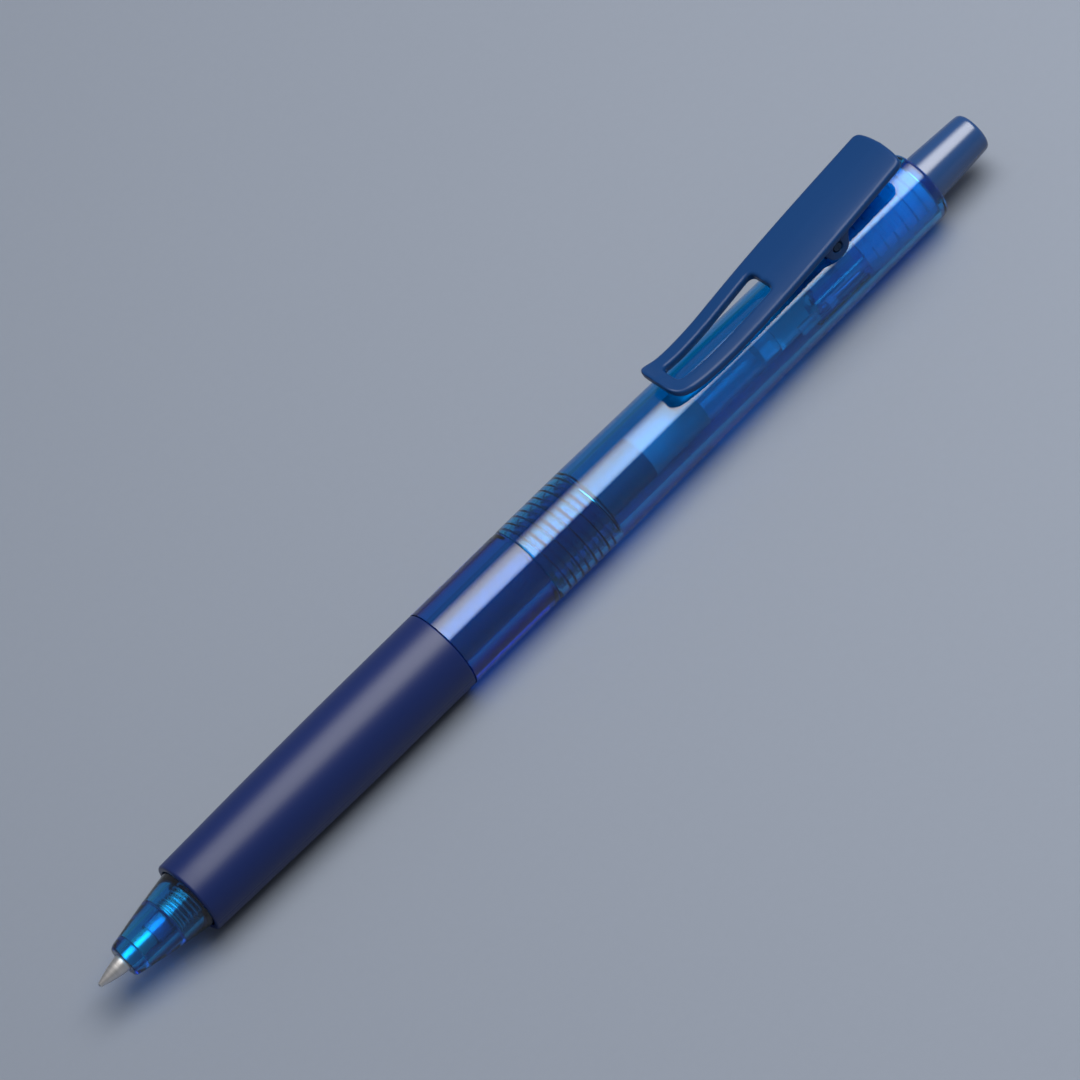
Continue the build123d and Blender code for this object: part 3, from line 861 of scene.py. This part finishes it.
SPRING_X0, SPRING_X1, SPRING_OUT_R = span("return_spring")
path = spring_path(SPRING_X0, SPRING_X1, SPRING_OUT_R - SPRING_WIRE_R)
spring = wire("return_spring_coil", path, SPRING_WIRE_R * MM, sides=10)
place(SPRING_X0)
place(SPRING_X1)
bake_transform(spring)
fit(spring, None, "steel", STEEL, "return_spring")

# %% [markdown]
# ## The knock
# The push button is a plain navy rod with a nearly flat end and a rounded rim. It is hollow behind, where
# the clear plunger's stem is pressed in. A bevelled cylinder would do for its outside, but its slight taper
# and the soft rim shape the highlight, so it is turned from an outline too.

# %% Knock button
KNOCK_X0, KNOCK_X1, KNOCK_R = span("knock_button")
KNOCK_BORE_R, KNOCK_BORE_X1, KNOCK_END_R, TAPER_KNEE_X = 2.05, 141.0, 2.6, 137.0
rod = [(KNOCK_X0, KNOCK_BORE_R), (KNOCK_X0, KNOCK_R), (TAPER_KNEE_X, KNOCK_R - 0.02), (KNOCK_X1 - 1.3, 2.72)]
rod += [(KNOCK_X1 - 0.06, KNOCK_END_R), (KNOCK_X1, 1.2), (KNOCK_X1, 0)]
outline = soften(rod, [0.1, 0.15, 0.5, 0.6, 0.75, 0.8, 0], steps=9, closed=False)
outline += [np.array(point) for point in ((KNOCK_BORE_X1, 0), (KNOCK_BORE_X1, KNOCK_BORE_R))]
knock = lathe("knock_button_rod", outline, around=128)
fit(knock, "knock", "navy_gloss", NAVY_GLOSS, "knock_button")

# %% [markdown]
# ## The clip
# The clip is one opaque moulding: a wide plate with a window, a foot whose end curls up so that a pocket
# slides under it, a tail to press, and two cheeks that reach down to the pin. A subdivided box could be
# pulled into this shape by hand. Here the plate is drawn flat, with its rims rounded, then cut into a fine
# grid and lifted to its side profile, which keeps the window's outline exact.

# %% Clip sizes
CLIP_LOW, CLIP_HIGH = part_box("clip")
CLIP_X0 = (CLIP_LOW.x - PEN_X0) / MM
CLIP_X1 = (CLIP_HIGH.x - PEN_X0) / MM
CLIP_HALF = (CLIP_HIGH.y - CLIP_LOW.y) / 2 / MM
TAIL_Z = (CLIP_HIGH.z - AXIS_Z) / MM
PLATE, CROWN = 1.25, 0.28
WINDOW_X0, WINDOW_X1 = 97.5, 113.2
PROFILE_X = (CLIP_X0, 96.6, 97.8, 99.4, 101.5, 104.6, 107.8, 112.0, 117.0, CLIP_X1)
PROFILE_Z = (7.85, 7.15, 6.68, 6.40, 6.32, 6.44, 6.80, 7.32, 7.94, TAIL_Z - 0.02)


def smooth_curve(xs, zs):
    """A smooth curve through the given heights, made of one Hermite span between each two."""
    xs, zs = np.array(xs, float), np.array(zs, float)
    steps = np.diff(zs) / np.diff(xs)
    slopes = np.concatenate(([steps[0]], (steps[1:] + steps[:-1]) / 2, [steps[-1]]))

    def height(x):
        i = int(np.clip(np.searchsorted(xs, x) - 1, 0, len(steps) - 1))
        w = xs[i + 1] - xs[i]
        t = (x - xs[i]) / w
        low = zs[i] * (2 * t**3 - 3 * t**2 + 1) + zs[i + 1] * (3 * t**2 - 2 * t**3)
        return low + w * (slopes[i] * (t**3 - 2 * t**2 + t) + slopes[i + 1] * (t**3 - t**2))

    return height


clip_height = smooth_curve(PROFILE_X, PROFILE_Z)
print("clip height at the foot %.2f mm, over the pin %.2f mm" % (clip_height(100), clip_height(PIN_X)))


# %% Clip plate
def clip_plan():
    """Half the plate seen from above, with half the window, as one outline."""
    foot, tail = CLIP_X0, CLIP_X1
    edge = [(foot, 0), (foot, 3.55), (99.7, 3.8), (112.0, CLIP_HALF), (PIN_X, CLIP_HALF), (tail - 0.55, 4.1)]
    edge += [(tail - 0.12, 2.2), (tail, 0)]
    hole = [(WINDOW_X1, 0), (WINDOW_X1, 2.15), (WINDOW_X0, 1.5), (WINDOW_X0, 0)]
    outer = soften(edge, [0, 2.4, 2.0, 8.0, 5.0, 1.3, 2.0, 0], steps=9, closed=False)
    return outer + soften(hole, [0, 1.1, 0.9, 0], steps=8, closed=False)


TOP_ROUND, UNDER_ROUND = 0.42, 0.28
CUTS = {(1, 0, 0): np.arange(CLIP_X0 + 0.5, CLIP_X1, 0.6), (0, 1, 0): np.arange(-3.9, 4.0, 0.65)}


def clip_plate():
    half = clip_plan()
    work = bmesh.new()
    for side in (1, -1):
        points = [(x, side * y) for x, y in half][::side]
        work.faces.new([work.verts.new((x, y, 0)) for x, y in points])
    bmesh.ops.remove_doubles(work, verts=work.verts, dist=1e-5)
    grown = bmesh.ops.extrude_face_region(work, geom=work.faces[:])["geom"]
    moved = [v for v in grown if isinstance(v, bmesh.types.BMVert)]
    bmesh.ops.translate(work, verts=moved, vec=(0, 0, PLATE))
    bmesh.ops.recalc_face_normals(work, faces=work.faces)
    for level_z, size in ((PLATE, TOP_ROUND), (0.0, UNDER_ROUND)):
        rims = [
            e for e in work.edges
            if all(abs(v.co.z - level_z) < 1e-6 for v in e.verts)
            and len(e.link_faces) == 2
            and abs(e.link_faces[0].normal.z - e.link_faces[1].normal.z) > 0.5
        ]
        bmesh.ops.bevel(work, geom=rims, offset=size, segments=5, profile=0.5, affect="EDGES")
    for way, stops in CUTS.items():
        for stop in stops:
            everything = work.verts[:] + work.edges[:] + work.faces[:]
            bmesh.ops.bisect_plane(work, geom=everything, plane_co=Vector(way) * stop, plane_no=way)
    for v in work.verts:
        x, y, h = v.co
        drop = CROWN * (y / CLIP_HALF) ** 2 * (h / PLATE)
        v.co = place(x, y, clip_height(x) - PLATE + h - drop)
    mesh = bpy.data.meshes.new("clip_plate")
    work.to_mesh(mesh)
    work.free()
    return finish_mesh("clip_plate", mesh, sharp=50)


print("plate's outline has %d points" % (2 * len(clip_plan())))

# %% [markdown]
# The cheeks hang from the plate as flat lobes, and the pin's ends lie just inside their holes. The pin is
# coloured near black as painted shade, for the shade deep in the holes. They could be joined to the plate by
# a Boolean, but opaque plastic hides the overlap, so the closed shells just run into each other.

# %% Cheek outline
CHEEK_Y0, CHEEK_Y1, CHEEK_R, CHEEK_ROUND, PIN_HOLE_R = 2.45, 3.6, 1.75, 0.2, 0.72
LOBE_START, LOBE_END, LOBE_POINTS = -2.9, -0.24, 19
WAIST_HALF, WAIST_RISE, ROOT_HALF, ROOT_DEPTH = 2.05, 0.7, 3.9, 1.0


def cheek_outline():
    """The lobe round the pin, which flares out under the plate."""
    lobe = round_pin(CHEEK_R, np.linspace(LOBE_START, LOBE_END, LOBE_POINTS))
    front, rear = PIN_X - ROOT_HALF, PIN_X + ROOT_HALF
    flare = [(PIN_X + WAIST_HALF, PIN_Z + WAIST_RISE), (rear, clip_height(rear) - ROOT_DEPTH)]
    flare += [(front, clip_height(front) - ROOT_DEPTH), (PIN_X - WAIST_HALF, PIN_Z + WAIST_RISE)]
    return soften(lobe + flare, [0] * LOBE_POINTS + [0.9, 0.1, 0.1, 0.9], steps=7)


print("cheek's outline has %d points" % len(cheek_outline()))


# %% The clip as one moulding
def joined(name, parts):
    """One mesh from closed shells that run into each other."""
    work = bmesh.new()
    for part in parts:
        work.from_mesh(part.data)
        bpy.data.objects.remove(part)
    mesh = bpy.data.meshes.new(name)
    work.to_mesh(mesh)
    work.free()
    return finish_mesh(name, mesh, sharp=50)


outline = cheek_outline()
turns = np.linspace(LOBE_START, LOBE_START + 2 * math.pi, len(outline), endpoint=False)
hole = round_pin(PIN_HOLE_R, turns)
cheeks = [
    plate_from("cheek", outline, side * CHEEK_Y0, side * CHEEK_Y1, CHEEK_ROUND, hole)
    for side in (-1, 1)
]
clip = joined("clip_moulding", [clip_plate(), *cheeks])
fit(clip, "clip", "navy_satin", NAVY_SATIN, "clip")

# %% [markdown]
# ## Small parts that keep their CAD shape
# The hinge pin, the clip's spring, the ball, the rotor and the plunger are hidden or tiny. They could be
# made again too, but their CAD shapes are right as they are and only need a finish.

# %% Carried-over nodes
# The pin gets the near-black steel, painted shade for the shade in the cheeks' holes.
carry("clip_pin", PIN_PAINTED_SHADE)
carry("clip_spring", STEEL)
carry("ball", CARBIDE)
carry("cam_rotor", NATURAL_CLEAR)
carry("plunger", SLEEVE_CLEAR)

# %% [markdown]
# ## Sizes
# Looks must not change the size of the pen, so the box of the CAD model and the box of the finished pen are
# written down side by side.

# %% Sizes and the end
made_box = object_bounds()
for label, box in (("cad", cad_box), ("made", made_box)):
    print(label, [[round(v * 1000, 2) for v in corner] for corner in box])
